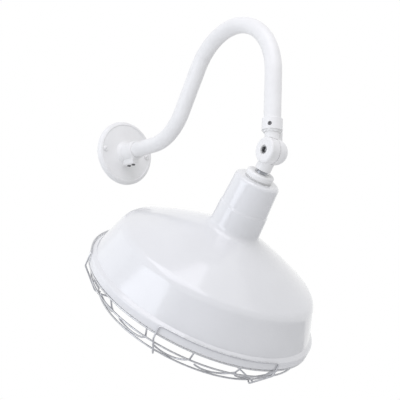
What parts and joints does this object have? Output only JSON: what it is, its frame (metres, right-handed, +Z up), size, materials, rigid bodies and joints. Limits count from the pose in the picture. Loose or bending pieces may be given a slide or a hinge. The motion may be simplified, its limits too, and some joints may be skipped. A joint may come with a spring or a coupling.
{
  "type": "gooseneck wall light",
  "caption": "White outdoor wall light: round wall plate, bent gooseneck pipe arm, bolted swivel and a domed warehouse shade tilted to the wall, with a latched wire guard under the rim.",
  "frame": {"origin": "middle of the wall plate's back, on the wall's surface", "axes": "+Y into the wall, -Y out along the arm, +Z up, +X to the right seen from the front"},
  "size_m": [0.3808, 0.434, 0.5831],
  "materials": {
    "white_coat": "semi-gloss white powder coat",
    "white_enamel": "glossy white enamel",
    "white_screw": "white painted screw",
    "seal": "matte black rubber",
    "fibre": "matte pale grey fibre",
    "dark_steel": "black oxide",
    "zinc": "bright zinc plate",
    "porcelain": "glazed white porcelain",
    "brass": "bright brass",
    "wire": "galvanised wire"
  },
  "bodies": {
    "arm": {"wall_plate": "white_coat", "wall_gasket": "seal", "wall_screws": "white_screw", "arm_set_screws": "dark_steel", "gooseneck_arm": "white_coat", "knuckle_upper": "white_coat", "collar_set_screw": "dark_steel", "friction_washer": "fibre", "knuckle_bolt": "white_screw"},
    "head": {"knuckle_lower": "white_coat", "nipple": "zinc", "hub_cap": "white_coat", "hub_seal": "seal", "shade": "white_enamel", "hub_lock_nut": "zinc", "socket_cap": "zinc", "lampholder": "porcelain", "screw_shell": "brass", "centre_contact": "brass", "cap_screws": "zinc", "terminal_screws": "brass", "guard_seat_ring": "wire", "guard_ring_a": "wire", "guard_ring_b": "wire", "guard_ring_c": "wire", "guard_ring_d": "wire", "guard_spokes": "wire", "guard_hairpins": "wire"},
    "bail_1": {"guard_bail_1": "wire"},
    "bail_2": {"guard_bail_2": "wire"},
    "bail_3": {"guard_bail_3": "wire"}
  },
  "joints": [
    {"name": "head_tilt", "type": "hinge", "parent": "arm", "child": "head", "pos_m": [0, -0.398, -0.0655], "axis": [1, 0, 0], "range_deg": [-96, 20]},
    {"name": "bail_1_swing", "type": "hinge", "parent": "head", "child": "bail_1", "pos_m": [-0.05203, -0.31317, -0.38503], "axis": [0.9239, -0.3048, -0.2314], "range_deg": [0, 45]},
    {"name": "bail_2_swing", "type": "hinge", "parent": "head", "child": "bail_2", "pos_m": [0.1348, -0.19898, -0.29835], "axis": [-0.1305, 0.7897, 0.5994], "range_deg": [0, 45]},
    {"name": "bail_3_swing", "type": "hinge", "parent": "head", "child": "bail_3", "pos_m": [-0.08277, -0.12719, -0.24386], "axis": [-0.7934, -0.4849, -0.3681], "range_deg": [0, 45]}
  ]
}
